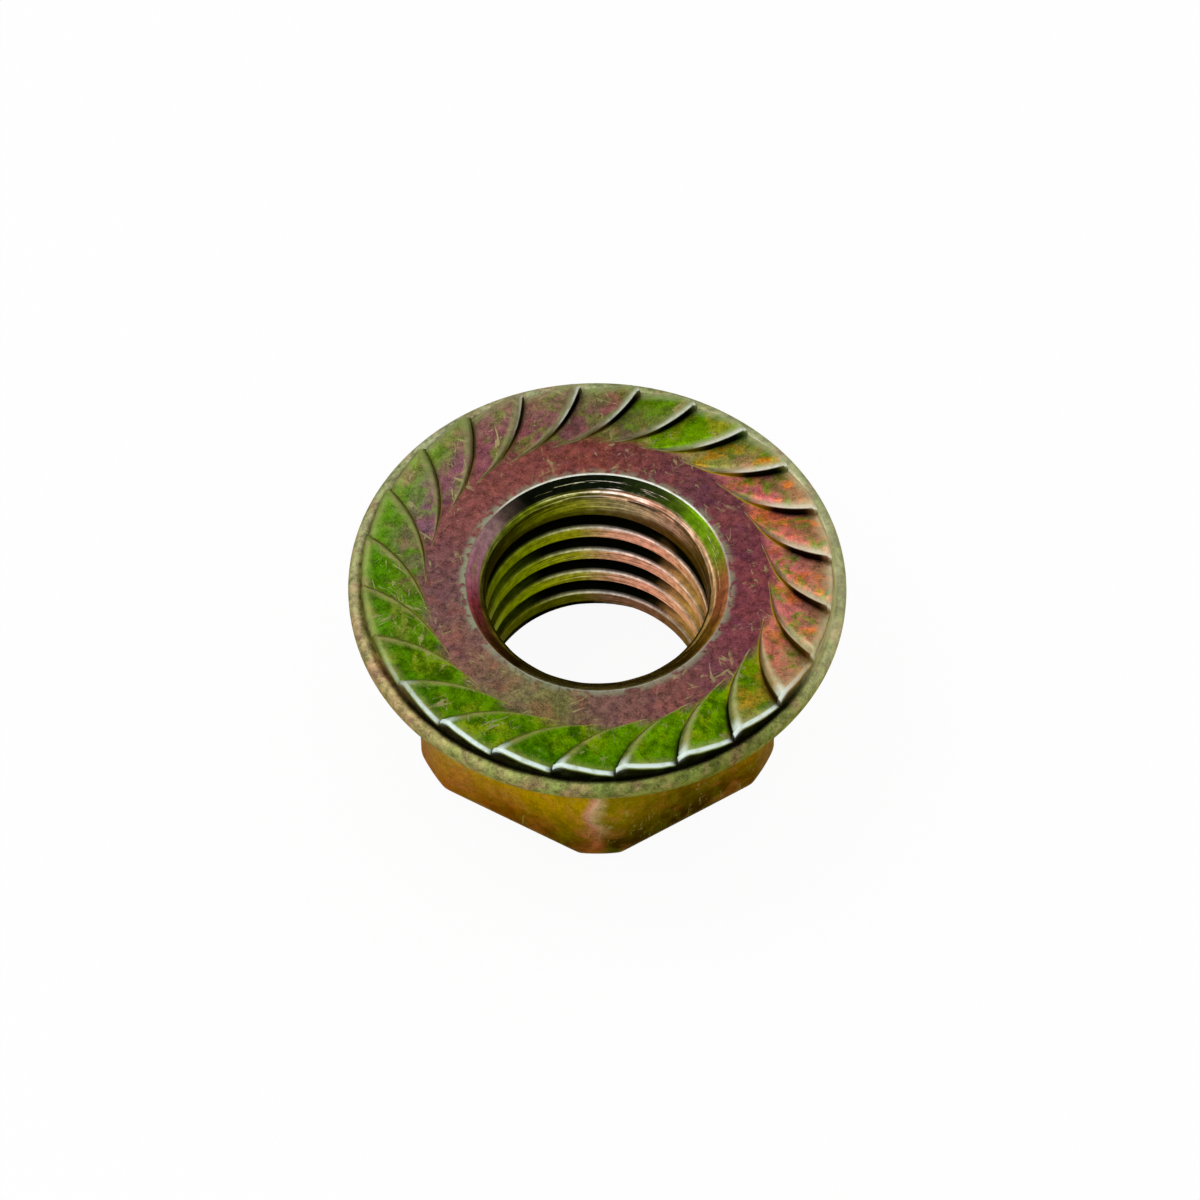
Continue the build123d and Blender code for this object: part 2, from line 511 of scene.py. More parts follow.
# %% Trim the thread to the nut's two faces
TRIM_TOP, TRIM_END = SEAT - 0.06, 0.03
for height, up in ((TRIM_TOP, 1), (TRIM_END, -1)):
    bmesh.ops.bisect_plane(
        hole, geom=hole.verts[:] + hole.edges[:] + hole.faces[:], dist=1e-7,
        plane_co=(0, 0, height * MM), plane_no=(0, 0, up), clear_outer=True,
    )
thread_mesh = bpy.data.meshes.new("thread")
hole.to_mesh(thread_mesh)
hole.free()
print("thread:", len(thread_mesh.vertices), "points")

# %% [markdown]
# ## Close the piece
#
# The skin and the thread meet in two open circles at each end. They have different numbers of
# points, so they can't simply be merged; a bridge between the loops closes the narrow ring.

# %% Join, bridge and check
skin.from_mesh(thread_mesh)
bpy.data.meshes.remove(thread_mesh)
for height in (SEAT, 0.0):
    rim = [e for e in skin.edges if e.is_boundary and abs(e.verts[0].co.z - height * MM) < 0.2 * MM]
    bmesh.ops.bridge_loops(skin, edges=rim)
bmesh.ops.remove_doubles(skin, verts=skin.verts, dist=0.001 * MM)
bmesh.ops.recalc_face_normals(skin, faces=skin.faces)
open_edges = sum(not e.is_manifold for e in skin.edges)
print(open_edges, "open edges")

# %% Give each face its finish
FACE, RIM, HEXAGON, THREAD = range(4)
for polygon in skin.faces:
    spot = polygon.calc_center_median() / MM
    r = math.hypot(spot.x, spot.y)
    if r < SINK_RADIUS + 0.002 and 0.02 < spot.z:
        polygon.material_index = THREAD
    elif spot.z > SEAT - 0.05 and r < CROWN_OUTER + 0.005:
        polygon.material_index = FACE
    elif spot.z > underside_height(r) + 0.02 and r > 8:
        polygon.material_index = RIM
    else:
        polygon.material_index = HEXAGON
    polygon.smooth = True

nut_mesh = bpy.data.meshes.new("flange_nut_finished")
skin.to_mesh(nut_mesh)
volume = skin.calc_volume() / MM**3
skin.free()
nut_mesh.set_sharp_from_angle(angle=math.radians(38))
nut = bpy.data.objects.new("flange_nut_finished", nut_mesh)
bpy.context.scene.collection.objects.link(nut)
triangles = sum(len(p.vertices) - 2 for p in nut_mesh.polygons)
print(f"{len(nut_mesh.vertices)} points, {triangles} triangles, volume {volume:.0f} mm3")

# %% [markdown]
# ## Tools for the finish
#
# A material is a small chain of nodes. A bench keeps the chains readable: it adds a node and
# wires it in the same line, and it builds a colour ramp from directions round the nut.

# %% Helpers for nodes
def srgb(red, green, blue):
    """A colour as a paint chart gives it, 0 to 255, made linear."""
    shares = (red / 255, green / 255, blue / 255)
    return tuple(c / 12.92 if c <= 0.04045 else ((c + 0.055) / 1.055) ** 2.4 for c in shares) + (1.0,)


class Bench:
    """Adds nodes to one tree, left to right."""

    def __init__(self, tree):
        self.tree, self.count = tree, 0

    def node(self, kind, inputs=(), **settings):
        made = self.tree.nodes.new(kind)
        made.location = (self.count % 12 * 190, -(self.count // 12) * 320)  # rows of 12 on the page
        self.count += 1
        for key, value in settings.items():
            setattr(made, key, value)
        for key, value in dict(inputs).items():
            if isinstance(value, bpy.types.NodeSocket):
                self.tree.links.new(value, made.inputs[key])
            else:
                made.inputs[key].default_value = value
        return made

    def math(self, operation, *values, clamp=False):
        made = self.node("ShaderNodeMath", enumerate(values), operation=operation, use_clamp=clamp)
        return made.outputs[0]

    def shift(self, vector, step):
        return self.node("ShaderNodeVectorMath", {0: vector, 1: step}, operation="ADD").outputs[0]

    def noise(self, vector, scale, detail=2.0, rough=0.5, warp=0.0):
        made = self.node(
            "ShaderNodeTexNoise",
            {"Vector": vector, "Scale": scale, "Detail": detail, "Roughness": rough, "Distortion": warp},
        )
        return made.outputs["Fac"]

    def range(self, value, low, high, to_low=0.0, to_high=1.0):
        made = self.node(
            "ShaderNodeMapRange",
            {"Value": value, "From Min": low, "From Max": high, "To Min": to_low, "To Max": to_high},
            interpolation_type="SMOOTHSTEP",
        )
        return made.outputs["Result"]

    def mix(self, share, a, b, blend="MIX"):
        made = self.node("ShaderNodeMix", data_type="RGBA", blend_type=blend, clamp_factor=True)
        for socket, value in (("Factor_Float", share), ("A_Color", a), ("B_Color", b)):
            target = next(s for s in made.inputs if s.identifier == socket)
            if isinstance(value, bpy.types.NodeSocket):
                self.tree.links.new(value, target)
            else:
                target.default_value = value
        return next(s for s in made.outputs if s.identifier == "Result_Color")

    def mark(self, name, output="Fac"):
        return self.node("ShaderNodeAttribute", attribute_name=name).outputs[output]

    def ramp(self, share, stops):
        made = self.node("ShaderNodeValToRGB", {"Fac": share})
        elements = made.color_ramp.elements
        while len(elements) < len(stops):
            elements.new(0.5)
        # Places come first and colours after, because a ramp sorts its stops as they move
        for element, (place, colour) in zip(elements, stops):
            element.position = place
        for element, (place, colour) in zip(elements, stops):
            element.color = srgb(*colour)
        return made.outputs["Color"]

    def round_ramp(self, share, stops):
        """A ramp by direction: degrees from +X, counterclockwise, closed at 360."""
        ends = [(d / 360, c) for d, c in stops]
        return self.ramp(share, ends + [(1.0, stops[0][1])])

    def round_mask(self, share, stops):
        """The same for a plain strength, from 0 to 255."""
        return self.round_ramp(share, [(d, (v, v, v)) for d, v in stops])

    def effect(self, group, inputs):
        """One of the shared effects, wired in."""
        return self.node("ShaderNodeGroup", inputs, node_tree=group).outputs


def new_group(name, inputs, outputs):
    """An empty shared effect, with its bench, what it is given and what it has to fill."""
    group = bpy.data.node_groups.new(name, "ShaderNodeTree")
    for label, kind, value in inputs:
        socket = group.interface.new_socket(name=label, in_out="INPUT", socket_type=kind)
        if value is not None:
            socket.default_value = value
    for label, kind in outputs:
        group.interface.new_socket(name=label, in_out="OUTPUT", socket_type=kind)
    bench = Bench(group)
    return group, bench, bench.node("NodeGroupInput").outputs, bench.node("NodeGroupOutput").inputs


# %% [markdown]
# ## Three effects that every finish shares
#
# *Clock* turns a direction into a number from 0 to 1 round the nut, with a little drift, so that
# the film's colours wander and don't stop on straight lines.
#
# *Film* is the chromate. Where a real film is thicker or thinner it has another hue. The group
# moves a base colour towards two other hues, a warm and a cool one, in patches of two sizes, and
# adds lighter and darker clouds and the fine grain of the plating.
#
# *Scuffs* are the short pale scratches that nuts get from each other in their box. They are thin
# ridges of stretched noise in three directions, broken up by a coarser noise.

# %% Clock
clock, b, given, result = new_group(
    "clock",
    [
        ("Vector", "NodeSocketVector", None), ("Drift", "NodeSocketFloat", 0.03),
        ("Place", "NodeSocketVector", None),
    ],
    [("Turn", "NodeSocketFloat")],
)
parts = b.node("ShaderNodeSeparateXYZ", {0: given["Vector"]}).outputs
angle = b.math("ARCTAN2", parts["Y"], parts["X"])
turn = b.math("DIVIDE", angle, math.tau)
wander = b.math("SUBTRACT", b.noise(given["Place"], 0.55, 2.0), 0.5)
turn = b.math("ADD", turn, b.math("MULTIPLY", wander, given["Drift"]))
b.tree.links.new(b.math("FRACT", b.math("ADD", turn, 1.0)), result["Turn"])

# %% Film
film, b, given, result = new_group(
    "film",
    [
        ("Place", "NodeSocketVector", None), ("Base", "NodeSocketColor", (0.3, 0.3, 0.2, 1)),
        ("Warm", "NodeSocketColor", srgb(178, 104, 84)), ("Cool", "NodeSocketColor", srgb(96, 128, 30)),
        ("Patches", "NodeSocketFloat", 0.4), ("Grain", "NodeSocketFloat", 0.2),
        ("Depth", "NodeSocketFloat", 1.0),
    ],
    [("Color", "NodeSocketColor"), ("Height", "NodeSocketFloat")],
)
broad = b.noise(given["Place"], 0.9, 3.0, 0.55, 0.6)
small = b.noise(b.shift(given["Place"], (17, 5, 9)), 1.25, 4.0, 0.55, 0.8)
warm = b.math("MULTIPLY", b.range(broad, 0.46, 0.68), given["Patches"])
cool = b.math("MULTIPLY", b.range(small, 0.46, 0.66), given["Patches"])
colour = b.mix(warm, given["Base"], given["Warm"])
colour = b.mix(cool, colour, given["Cool"])
grain = b.noise(given["Place"], 15.0, 3.0, 0.75)
depth = b.noise(b.shift(given["Place"], (3, 41, 2)), 3.0, 6.0, 0.68)
shade = b.math("ADD", b.math("MULTIPLY", b.math("SUBTRACT", grain, 0.5), given["Grain"]), 1.0)
uneven = b.math("MULTIPLY", b.range(depth, 0.34, 0.66, -0.34, 0.3), given["Depth"])
shade = b.math("ADD", shade, uneven)
tint = b.node("ShaderNodeCombineColor", {0: shade, 1: shade, 2: shade}).outputs[0]
b.tree.links.new(b.mix(1.0, colour, tint, "MULTIPLY"), result["Color"])
b.tree.links.new(b.math("ADD", grain, b.math("MULTIPLY", small, 0.6)), result["Height"])

# %% Scuffs
scuffs, b, given, result = new_group(
    "scuffs",
    [("Place", "NodeSocketVector", None), ("Amount", "NodeSocketFloat", 0.5)],
    [("Mask", "NodeSocketFloat")],
)
total = None
for turned, shift in ((0.5, 0.0), (1.7, 31.0), (2.6, 57.0)):
    placed = b.node(
        "ShaderNodeMapping",
        {
            "Vector": given["Place"], "Location": (shift, shift, 0), "Rotation": (0, 0, turned),
            "Scale": (0.95, 0.2, 1.0),
        },
        vector_type="TEXTURE",
    ).outputs[0]
    lines = b.range(b.noise(placed, 1.0, 3.0, 0.55, 0.9), 0.625, 0.665)
    total = lines if total is None else b.math("MAXIMUM", total, lines)
broken = b.range(b.noise(given["Place"], 0.8, 4.0, 0.6), 0.46, 0.59)
b.tree.links.new(b.math("MULTIPLY", b.math("MULTIPLY", total, broken), given["Amount"]), result["Mask"])
print("shared effects:", [g.name for g in bpy.data.node_groups])


# %% Start a finish
SHEEN_TINT = (0.55, 0.5, 0.32, 1)       # the film dims what the metal mirrors at a slant


def new_finish(name, bump):
    """A material with its bench, the place in millimetres and a function that ends the chain."""
    material = bpy.data.materials.new(name)
    material.use_nodes = True
    material.node_tree.nodes.clear()
    bench = Bench(material.node_tree)
    here = bench.node("ShaderNodeTexCoord").outputs["Object"]
    place = bench.node("ShaderNodeVectorMath", {0: here}, operation="SCALE")
    place.inputs["Scale"].default_value = 1000.0
    place = place.outputs[0]

    def finish(colour, roughness, height, metallic=1.0):
        raised = bench.node(
            "ShaderNodeBump", {"Strength": 1.0, "Distance": bump, "Height": height},
        ).outputs[0]
        metal = bench.node(
            "ShaderNodeBsdfPrincipled",
            {
                "Base Color": colour, "Roughness": roughness, "Normal": raised, "Metallic": metallic,
                "Specular Tint": SHEEN_TINT,
            },
        )
        bench.node("ShaderNodeOutputMaterial", {"Surface": metal.outputs[0]})
        nut.data.materials.append(material)

    return bench, here, place, finish


# %% [markdown]
# ## The clamping face
#
# Teeth and flat ring share one finish. Both take their hue from a ramp by direction: the ring is
# mauve brown nearly all round, while the teeth are green at the front, salmon on the right and
# mauve at the back. A tooth keeps one hue over its whole facet, because the film drains off each
# facet in one go, so the teeth read `tooth_side` instead of their own place.

# %% Face finish
b, here, place, finish = new_finish("zinc_face", 0.00002)
turn = b.effect(clock, {"Vector": here, "Drift": 0.05, "Place": place})["Turn"]
tooth_side = b.mark("tooth_side", "Vector")
tooth_turn = b.effect(clock, {"Vector": tooth_side, "Drift": 0.05, "Place": place})["Turn"]
ring = b.round_ramp(turn, [
    (0, (112, 56, 62)), (50, (102, 60, 66)), (90, (122, 64, 54)), (150, (124, 74, 70)),
    (185, (106, 76, 74)), (215, (122, 88, 74)), (240, (110, 104, 66)), (257, (100, 98, 54)),
    (272, (112, 80, 72)), (300, (112, 74, 68)), (330, (114, 60, 66)),
])
middle = b.round_ramp(tooth_turn, [
    (0, (188, 106, 110)), (20, (196, 104, 92)), (42, (186, 100, 112)), (56, (106, 150, 0)),
    (72, (96, 128, 10)), (84, (98, 68, 66)), (120, (114, 66, 70)), (155, (108, 74, 86)),
    (170, (96, 96, 60)), (186, (76, 112, 8)), (250, (78, 118, 0)), (300, (94, 138, 0)),
    (320, (110, 136, 0)), (334, (194, 112, 92)),
])
outer = b.round_ramp(tooth_turn, [
    (0, (170, 122, 94)), (40, (160, 114, 78)), (54, (84, 126, 0)), (80, (78, 112, 0)),
    (104, (110, 90, 70)), (124, (114, 80, 76)), (144, (84, 120, 20)), (185, (66, 114, 4)),
    (265, (62, 110, 0)), (313, (98, 142, 0)), (336, (168, 118, 90)),
])
span = b.mark("span")
teeth = b.mix(b.range(span, 0.35, 0.85), middle, outer)
base = b.mix(b.mark("crown"), ring, teeth)
BACK_LEFT = (-0.5, 0.87, 0)
behind = b.node(
    "ShaderNodeVectorMath", {0: tooth_side, 1: BACK_LEFT}, operation="DOT_PRODUCT",
).outputs["Value"]
patches = b.range(behind, 0.5, 0.95, 0.85, 0.5)
patches = b.math("MULTIPLY", patches, b.range(b.mark("crown"), 0.0, 1.0, 0.35, 1.0))
warm = b.round_ramp(tooth_turn, [
    (0, (224, 112, 52)), (45, (228, 124, 20)), (60, (140, 150, 0)), (90, (140, 66, 72)),
    (150, (138, 78, 86)), (185, (112, 92, 60)), (215, (120, 134, 20)), (300, (112, 140, 0)),
    (335, (196, 120, 50)),
])
cool = b.round_ramp(tooth_turn, [
    (0, (118, 136, 44)), (50, (88, 126, 0)), (75, (88, 128, 4)), (110, (92, 124, 10)),
    (160, (80, 124, 6)), (200, (50, 80, 0)), (270, (46, 82, 0)), (320, (70, 110, 0)),
    (345, (110, 136, 30)),
])
warm = b.mix(b.mark("crown"), srgb(146, 76, 66), warm)
cool = b.mix(b.mark("crown"), srgb(84, 44, 70), cool)
coated = b.effect(
    film, {"Place": place, "Base": base, "Warm": warm, "Cool": cool, "Patches": patches, "Grain": 2.4},
)
patchy = b.range(b.noise(place, 3.0, 4.0, 0.6), 0.3, 0.6, 0.45, 1.0)
# Rubbed metal, with painted highlights on the shoulders: paler on the right than on the left
rubbed_and_lit = b.math("MULTIPLY", b.mark("pale"), patchy)
rubbed_and_lit_metal = b.round_ramp(turn, [
    (0, (204, 204, 164)), (60, (190, 192, 150)), (120, (142, 150, 96)), (180, (160, 156, 92)),
    (270, (156, 152, 84)), (330, (190, 190, 140)),
])
colour = b.mix(b.math("MULTIPLY", rubbed_and_lit, 0.72), coated["Color"], rubbed_and_lit_metal)
ragged = b.range(b.noise(place, 2.4, 3.0, 0.6, 0.7), 0.4, 0.54)
halo = b.math("MULTIPLY", b.range(span, -0.25, -0.95), ragged)
halo_strength = b.round_mask(turn, [(0, 215), (128, 180), (148, 255), (205, 255), (230, 215)])
colour = b.mix(b.math("MULTIPLY", halo, halo_strength), colour, srgb(136, 140, 114))
scratch = b.effect(scuffs, {"Place": place, "Amount": 0.75})["Mask"]
colour = b.mix(scratch, colour, srgb(152, 142, 98))
# Painted highlights: glints, bright edges and the front risers, dimmer on the left
lit = b.round_ramp(turn, [
    (0, (232, 228, 200)), (25, (242, 240, 220)), (45, (244, 248, 238)), (130, (226, 232, 214)),
    (150, (140, 138, 116)), (200, (150, 154, 124)), (230, (218, 236, 232)), (320, (224, 238, 230)),
    (335, (190, 180, 140)),
])
glints = b.math("MULTIPLY", b.mark("edge"), b.range(b.noise(place, 4.0, 3.0), 0.25, 0.55, 0.6, 1.0))
colour = b.mix(glints, colour, lit)
# Painted shade: nearly black on the right, at the back and at the front, olive on the left, and gold
# towards the inner end of each step
shade_colour = b.round_ramp(turn, [
    (0, (4, 4, 0)), (100, (4, 4, 0)), (125, (70, 66, 14)), (180, (96, 84, 24)), (222, (84, 80, 16)),
    (232, (20, 20, 6)), (316, (24, 22, 6)), (326, (110, 90, 14)), (340, (80, 64, 10)),
    (350, (6, 6, 0)),
])
inner_end = b.math("MULTIPLY", b.range(span, 0.42, 0.2, 0.0, 0.9), b.range(behind, 0.3, 0.7, 1.0, 0.25))
shade_colour = b.mix(inner_end, shade_colour, srgb(160, 140, 16))
colour = b.mix(b.math("MULTIPLY", b.mark("soot"), 0.98), colour, shade_colour)
rough = b.range(coated["Height"], 0.4, 1.2, 0.3, 0.5)
finish(colour, rough, coated["Height"], b.range(glints, 0.1, 0.9, 1.0, 0.3))

# %% [markdown]
# ## Lip and underside
#
# The lip is rubbed pale nearly all round and keeps some film only at the front. The foot of the
# crown's outer wall, the deepest corner of the face, is painted nearly black at the front as shade,
# and the groove on the right carries a painted highlight.

# %% Rim finish
b, here, place, finish = new_finish("zinc_rim", 0.00002)
turn = b.effect(clock, {"Vector": here, "Drift": 0.04, "Place": place})["Turn"]
lip = b.round_ramp(turn, [
    (0, (142, 144, 96)), (45, (142, 148, 104)), (135, (156, 160, 122)), (190, (160, 156, 108)),
    (212, (172, 152, 106)), (240, (146, 146, 88)), (262, (128, 136, 74)), (285, (112, 118, 56)),
    (303, (92, 98, 40)), (318, (128, 132, 72)), (335, (148, 150, 94)),
])
coated = b.effect(film, {
    "Place": place, "Base": lip, "Warm": srgb(180, 126, 112), "Cool": srgb(120, 140, 66),
    "Patches": 0.4, "Grain": 1.7, "Depth": 1.2,
})
# Painted highlight on the right, and painted shade in the deepest corner at the front
colour = b.mix(b.math("MULTIPLY", b.mark("edge"), 0.8), coated["Color"], srgb(226, 224, 186))
colour = b.mix(b.math("MULTIPLY", b.mark("soot"), 0.9), colour, srgb(14, 16, 6))
rough = b.range(coated["Height"], 0.4, 1.2, 0.35, 0.55)
finish(colour, rough, coated["Height"])

# %% [markdown]
# ## Hexagon
#
# The hexagon's flats are gold and olive with pinkish marks from the die. They darken to brown
# towards the free end, painted shade where the rounding looks down at the ground, and the flats
# on the right are painted darker as shade, nearly black towards the end. A narrow pale band down
# the front corner is a painted highlight.

# %% Hexagon finish
b, here, place, finish = new_finish("zinc_hexagon", 0.00002)
turn = b.effect(clock, {"Vector": here, "Drift": 0.03, "Place": place})["Turn"]
# Painted light: a pale band down the front corner, and darker flats on the right
upper_colour_and_light = b.round_ramp(turn, [
    (0, (150, 128, 10)), (90, (150, 120, 20)), (180, (150, 116, 54)), (203, (160, 116, 84)),
    (222, (186, 146, 50)), (240, (176, 142, 0)), (265, (160, 130, 0)), (267, (196, 136, 110)),
    (268.8, (190, 166, 124)), (271, (128, 112, 0)), (300, (104, 84, 0)), (330, (146, 112, 0)),
])
# Painted shade towards the free end, nearly black on the right
lower_colour_and_shade = b.round_ramp(turn, [
    (0, (104, 62, 0)), (90, (96, 54, 0)), (180, (140, 84, 26)), (212, (160, 96, 40)),
    (240, (106, 56, 0)), (262, (66, 44, 0)), (268, (126, 70, 36)), (273, (34, 18, 0)),
    (310, (40, 20, 0)), (335, (116, 74, 0)),
])
height = b.node("ShaderNodeSeparateXYZ", {0: place}).outputs["Z"]
height = b.math("ADD", height, b.math("MULTIPLY", b.noise(place, 0.7, 3.0), 1.6))
base = b.mix(b.range(height, 1.9, 5.2), lower_colour_and_shade, upper_colour_and_light)
coated = b.effect(film, {
    "Place": place, "Base": base, "Warm": srgb(196, 116, 84), "Cool": srgb(116, 124, 0),
    "Patches": 0.2, "Grain": 1.7, "Depth": 0.55,
})
scratch = b.effect(scuffs, {"Place": place, "Amount": 0.4})["Mask"]
colour = b.mix(scratch, coated["Color"], srgb(158, 148, 100))
rough = b.range(coated["Height"], 0.4, 1.2, 0.35, 0.55)
finish(colour, rough, coated["Height"])

# %% [markdown]
# ## Thread and countersink
#
# The thread's crests are scored by the drill with fine lines that run round the hole, gold on
# the left and salmon on the right, with a painted highlight along each crest's upper edge. The
# grooves are painted dark as shade, darkest in the uppermost one, and the hole darkens with painted
# shade towards its bottom. Above the thread the hole was drilled but hardly cut by the tap: that
# run-in has painted shade below and a painted highlight at its upper edge. The countersink changes
# colour with direction and is nearly black at the back, and its lower edge is streaked like the
# crests. The scoring is noise squeezed along the axis and stretched round it.

# %% Thread finish
b, here, place, finish = new_finish("zinc_thread", 0.000012)
turn = b.effect(clock, {"Vector": here, "Drift": 0.02, "Place": place})["Turn"]
crests = b.round_ramp(turn, [
    (0, (226, 160, 96)), (30, (252, 182, 142)), (60, (244, 164, 140)), (80, (214, 150, 122)),
    (98, (146, 142, 30)), (125, (124, 140, 10)), (155, (110, 134, 0)), (200, (120, 112, 10)),
    (270, (120, 100, 30)), (330, (170, 130, 60)),
])
sink = b.round_ramp(turn, [
    (0, (148, 88, 50)), (14, (112, 134, 24)), (36, (96, 136, 8)), (46, (64, 84, 10)),
    (60, (36, 46, 14)), (80, (14, 20, 8)), (126, (10, 12, 6)), (137, (62, 52, 44)),
    (152, (142, 108, 110)), (172, (142, 92, 104)), (190, (128, 52, 60)), (212, (82, 50, 26)),
    (228, (64, 44, 18)), (245, (108, 98, 52)), (285, (114, 104, 56)), (312, (84, 64, 24)),
    (330, (144, 104, 36)), (346, (158, 90, 58)),
])
SQUEEZE = (0.35, 0.35, 16.0)
squeezed = b.node("ShaderNodeVectorMath", {0: place, 1: SQUEEZE}, operation="MULTIPLY").outputs[0]
score = b.noise(squeezed, 1.0, 4.0, 0.7)
striped = b.mix(b.range(score, 0.3, 0.55), srgb(56, 58, 0), crests)
shine = b.round_ramp(turn, [
    (0, (255, 214, 160)), (30, (255, 232, 206)), (60, (255, 226, 210)), (82, (255, 244, 232)),
    (100, (250, 246, 190)), (122, (150, 160, 50)), (160, (120, 130, 20)), (250, (150, 130, 50)),
    (330, (210, 180, 100)),
])
striped = b.mix(b.range(score, 0.58, 0.72, 0, 0.8), striped, shine)
# Painted shade in the grooves, nearly black at the back
groove_shade = b.round_ramp(turn, [
    (0, (120, 90, 30)), (30, (170, 130, 60)), (46, (150, 106, 60)), (56, (24, 18, 2)),
    (64, (5, 5, 0)), (118, (5, 6, 0)), (130, (40, 50, 0)), (150, (70, 84, 0)), (180, (66, 60, 0)),
    (215, (30, 24, 0)), (330, (80, 56, 20)),
])
height = b.node("ShaderNodeSeparateXYZ", {0: place}).outputs["Z"]
right_side = b.round_mask(turn, [(0, 255), (28, 255), (58, 0), (300, 0), (330, 255)])
lowered = b.math("ADD", height, b.math("MULTIPLY", right_side, 0.5))    # the thread lies lower there
# The grooves turn black near the top, painted shade
groove_shade = b.mix(b.range(lowered, 5.9, 6.3), groove_shade, srgb(5, 5, 0))
scored_groove_shade = b.mix(b.range(score, 0.42, 0.7), b.mix(0.6, groove_shade, srgb(2, 2, 0)), groove_shade)
run_in = b.math("MULTIPLY", b.range(lowered, 6.5, 7.0), b.range(height, 8.3, 7.9))
# Painted shade on the run-in below
shaded = b.round_ramp(turn, [
    (0, (36, 28, 0)), (30, (12, 10, 0)), (60, (28, 24, 0)), (90, (58, 60, 0)), (118, (46, 44, 0)),
    (135, (20, 18, 0)), (215, (10, 8, 0)), (330, (100, 70, 20)),
])
# The drilled wall above the thread, with a painted highlight on the right and at the back and painted
# shade on the left and at the front
drilled = b.round_ramp(turn, [
    (0, (150, 144, 30)), (22, (170, 140, 70)), (44, (248, 186, 164)), (75, (226, 206, 146)),
    (95, (186, 186, 60)), (120, (112, 124, 16)), (150, (40, 44, 0)), (215, (10, 8, 0)),
    (330, (150, 110, 30)),
])
drilled = b.mix(b.range(score, 0.42, 0.58), b.mix(0.7, drilled, srgb(20, 16, 0)), drilled)
shaded = b.mix(b.range(height, 7.2, 7.65), shaded, drilled)
striped = b.mix(b.math("MULTIPLY", run_in, 0.9), striped, shaded)
# Painted shade deep down the hole
striped = b.mix(b.range(height, 2.2, 1.7, 0, 0.75), striped, srgb(14, 14, 0))
wall = b.mix(b.mark("band"), scored_groove_shade, striped)
# Painted highlight along the upper edge of each crest
wall = b.mix(b.math("MULTIPLY", b.mark("pale"), 0.8), wall, shine)
turned = b.mix(b.range(score, 0.35, 0.65), srgb(60, 62, 8), crests)
streaks = b.mix(b.range(score, 0.5, 0.62), turned, shine)
lower_sink = b.math("MULTIPLY", b.range(height, 8.36, 8.26), b.range(height, 4.0, 5.0))
fine_lines = b.math("MULTIPLY", b.range(score, 0.6, 0.68), b.range(height, 8.64, 8.5, 0.0, 0.9))
sink = b.mix(fine_lines, sink, shine)
sink = b.mix(b.math("MULTIPLY", lower_sink, 0.9), sink, streaks)
colour = b.mix(b.mark("span"), wall, sink)
coated = b.effect(film, {"Place": place, "Base": colour, "Patches": 0.0, "Grain": 0.4})
rough = b.range(score, 0.3, 0.7, 0.22, 0.4)
finish(coated["Color"], rough, score)
print("finishes:", [m.name for m in nut.data.materials])

# %% [markdown]
# ## Hand the piece over
#
# The finished nut stands for the solid and rides on its one body.

# %% Ride and replace
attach(nut, "root")
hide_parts("flange_nut")

# %% [markdown]
# ## Floor and light
#
# A plain pale floor and large soft lamps. A metal shows what it reflects, so the sky and the
# floor look white to the camera and in reflections, while the floor still takes the nut's shadow.

# %% Floor
floor_mesh = bpy.data.meshes.new("floor")
sheet = bmesh.new()
bmesh.ops.create_grid(sheet, x_segments=1, y_segments=1, size=1.5)
sheet.to_mesh(floor_mesh)
sheet.free()
floor = bpy.data.objects.new("floor", floor_mesh)
bpy.context.scene.collection.objects.link(floor)


def seen(bench):
    """1 for what the camera, a reflection or a pane shows."""
    ray = bench.node("ShaderNodeLightPath").outputs
    either = bench.math("MAXIMUM", ray["Is Camera Ray"], ray["Is Glossy Ray"])
    return bench.math("MAXIMUM", either, ray["Is Transmission Ray"])


paper = bpy.data.materials.new("pale_floor")
paper.use_nodes = True
paper.node_tree.nodes.clear()
b = Bench(paper.node_tree)
matt = b.node("ShaderNodeBsdfDiffuse", {"Color": (0.92, 0.92, 0.92, 1)}).outputs[0]
white = b.node("ShaderNodeEmission", {"Color": (1, 1, 1, 1), "Strength": 1.0}).outputs[0]
both = b.node("ShaderNodeMixShader", {0: b.math("MULTIPLY", seen(b), 0.94), 1: matt, 2: white}).outputs[0]
b.node("ShaderNodeOutputMaterial", {"Surface": both})
floor.data.materials.append(paper)

# %% Sky
sky = bpy.data.worlds.new("soft_sky")
bpy.context.scene.world = sky
sky.use_nodes = True
sky.node_tree.nodes.clear()
b = Bench(sky.node_tree)
strength = b.math("ADD", 0.8, b.math("MULTIPLY", seen(b), 0.2))
plain = b.node("ShaderNodeBackground", {"Color": (1, 1, 1, 1), "Strength": strength}).outputs[0]
b.node("ShaderNodeOutputWorld", {"Surface": plain})


# %% Lamps
AIM = Vector((0, 0, 0.006))


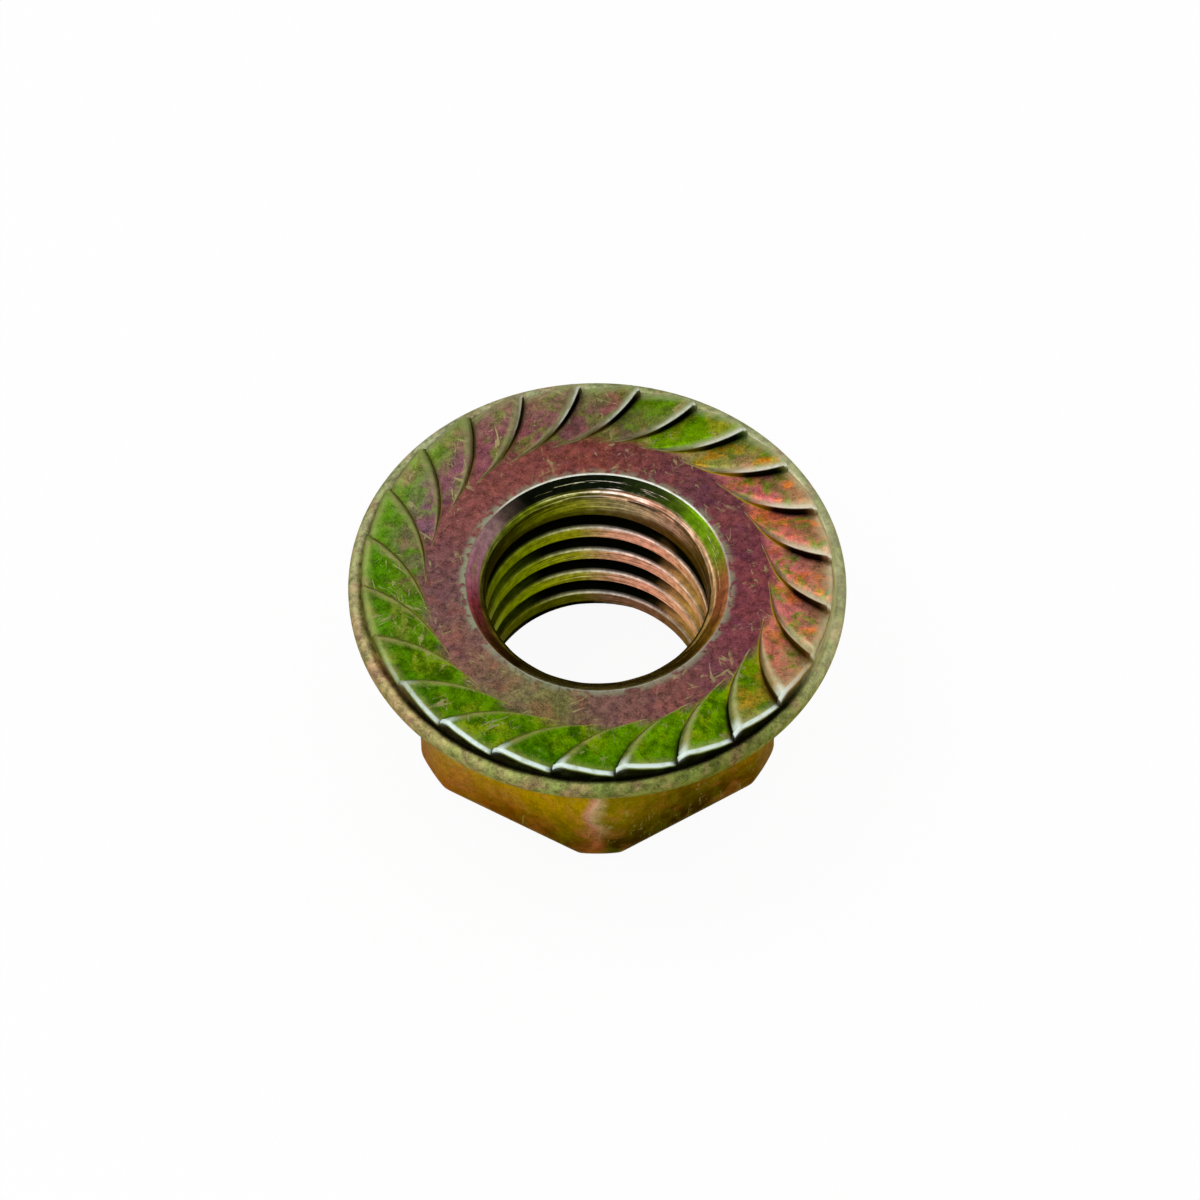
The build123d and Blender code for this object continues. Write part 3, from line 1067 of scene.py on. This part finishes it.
def lamp(name, place, size, watts):
    data = bpy.data.lights.new(name, "AREA")
    data.shape, data.size, data.energy = "DISK", size, watts
    made = bpy.data.objects.new(name, data)
    made.location = place
    made.rotation_euler = (AIM - Vector(place)).to_track_quat("-Z", "Y").to_euler()
    bpy.context.scene.collection.objects.link(made)


lamp("key", (-0.14, 0.02, 0.28), 0.16, 0.16)
lamp("front", (-0.12, -0.20, 0.16), 0.16, 0.07)

# %% [markdown]
# ## Camera
#
# The nut is seen from above its front corner, 56 degrees above the level, through a lens of
# about 105 mm, from 13 cm away.

# %% Camera
ELEVATION, ROLL, TURNED = math.radians(55.609), math.radians(0.686), math.radians(-1.76)
DISTANCE, SHIFT_RIGHT, SHIFT_DOWN = 14, 0.01129, 0.08058    # in flange radii
FOCAL_LENGTH, RENDER_WIDTH, SENSOR = 3489.66, 1200, 36      # the first two in pixels, then mm
right = Vector((1, 0, 0))
up = Vector((0, math.sin(ELEVATION), math.cos(ELEVATION)))
ahead = Vector((0, math.cos(ELEVATION), -math.sin(ELEVATION)))
stand = (-DISTANCE * ahead + SHIFT_RIGHT * right - SHIFT_DOWN * up) * FLANGE_RADIUS * MM
across = math.cos(ROLL) * right + math.sin(ROLL) * up
upward = -math.sin(ROLL) * right + math.cos(ROLL) * up
pose = Matrix((across, upward, -ahead)).transposed().to_4x4()
pose.translation = stand
camera_data = bpy.data.cameras.new("camera")
camera_data.sensor_width = SENSOR
camera_data.lens = FOCAL_LENGTH / RENDER_WIDTH * SENSOR
camera_data.clip_start, camera_data.clip_end = 0.01, 10
camera = bpy.data.objects.new("camera", camera_data)
camera.matrix_world = Matrix.Translation((0, 0, SEAT * MM)) @ Matrix.Rotation(TURNED, 4, "Z") @ pose
bpy.context.scene.collection.objects.link(camera)
bpy.context.scene.camera = camera
bpy.context.scene.view_settings.view_transform = "Standard"
print("camera at", [round(c * 1000, 1) for c in camera.location], "mm")

# %% [markdown]
# ## Bring the scene up to date
#

# %% Bring the scene up to date
bpy.context.view_layer.update()
